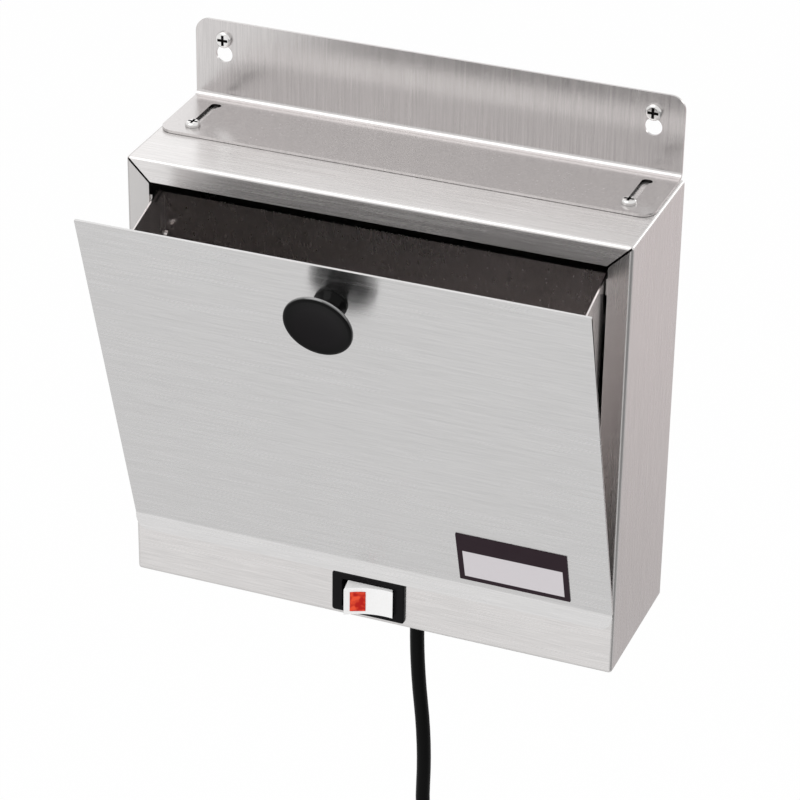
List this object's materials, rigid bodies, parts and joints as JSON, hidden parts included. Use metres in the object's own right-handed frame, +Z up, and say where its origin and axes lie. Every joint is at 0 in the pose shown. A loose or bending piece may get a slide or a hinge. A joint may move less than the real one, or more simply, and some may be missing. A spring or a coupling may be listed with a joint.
{
  "type": "lotion warmer",
  "caption": "Wall-mounted steel lotion warmer: a heated case hung on a slotted keyhole bracket, a tilt-out bin behind its door, a lit rocker switch, and a mains cord with plug.",
  "frame": {"origin": "midway between the bracket's two keyhole entries, on the wall's face", "axes": "+X to the right as seen from the front, +Y into the wall, +Z up"},
  "size_m": [0.2794, 0.1807, 0.6509],
  "materials": {
    "outer_steel": "satin sheet with a fine brushed grain",
    "inner_steel": "plain mill finish",
    "screw_steel": "bright plated",
    "spring_steel": "bright strip",
    "knob_black": "glossy moulding",
    "label_print": "printed film",
    "switch_black": "moulded, lightly textured",
    "rocker_white": "smooth moulding",
    "lens_red": "clear tinted lens",
    "terminal_brass": "stamped",
    "mat_silicone": "ribbed silicone",
    "grommet_rubber": "soft moulding",
    "insulation_wool": "bonded fibre board",
    "thermostat_black": "phenolic moulding",
    "plate_aluminium": "stamped",
    "wire_black": "extruded jacket",
    "wire_white": "extruded jacket",
    "wire_green": "extruded jacket",
    "splice_grey": "closed-end crimp",
    "bush_nylon": "natural nylon",
    "cord_black": "smooth flexible jacket",
    "tie_black": "flexible band"
  },
  "bodies": {
    "bracket": {"wall_bracket": "outer_steel", "wall_screws": "screw_steel"},
    "case": {"back_panel": "inner_steel", "back_screws": "screw_steel", "base_cover": "inner_steel", "base_screws": "screw_steel", "bracket_screws": "screw_steel", "case_nuts": "screw_steel", "case_shell": "outer_steel", "catch_spring_left": "spring_steel", "catch_spring_right": "spring_steel", "contact_arm": "spring_steel", "cord": "cord_black", "cord_coil": "cord_black", "cord_tie": "tie_black", "deck_grommet": "grommet_rubber", "fuse_clip": "spring_steel", "ground_ring": "terminal_brass", "ground_screw": "screw_steel", "ground_wire": "wire_green", "heater_deck": "inner_steel", "heater_mat": "mat_silicone", "insulation_back": "insulation_wool", "insulation_left": "insulation_wool", "insulation_right": "insulation_wool", "insulation_top": "insulation_wool", "link_wire": "wire_black", "live_wire": "wire_black", "mat_leads": "wire_white", "neutral_wire": "wire_white", "pivot_bracket_left": "inner_steel", "pivot_bracket_right": "inner_steel", "pivot_clips": "screw_steel", "pivot_pins": "screw_steel", "pivot_rivets": "screw_steel", "plug": "cord_black", "plug_blades": "terminal_brass", "strain_relief": "cord_black", "switch_housing": "switch_black", "switch_terminals": "terminal_brass", "switched_wire": "wire_black", "thermal_fuse": "plate_aluminium", "thermostat_body": "thermostat_black", "thermostat_screws": "screw_steel", "thermostat_strap": "plate_aluminium", "thermostat_terminals": "terminal_brass", "wire_splice": "splice_grey"},
    "bin": {"door_panel": "outer_steel", "label_plate": "label_print", "knob": "knob_black", "knob_screw": "screw_steel", "knob_washer": "screw_steel", "bin_side_left": "inner_steel", "bin_side_right": "inner_steel", "bin_back": "inner_steel", "bin_floor": "inner_steel", "bin_rivets": "screw_steel", "pivot_bushes": "bush_nylon"},
    "rocker": {"rocker": "rocker_white", "rocker_lens": "lens_red"}
  },
  "joints": [
    {"name": "slot_slide", "type": "slide", "parent": "bracket", "child": "case", "axis": [0, 1, 0], "range_m": [0, 0.0283]},
    {"name": "bin_tilt", "type": "hinge", "parent": "case", "child": "bin", "pos_m": [0, -0.0793, -0.23863], "axis": [1, 0, 0], "range_deg": [-16.6, 0]},
    {"name": "rocker_tip", "type": "hinge", "parent": "case", "child": "rocker", "pos_m": [0, -0.085, -0.26585], "axis": [0, 0, 1], "range_deg": [-29, 0]}
  ]
}
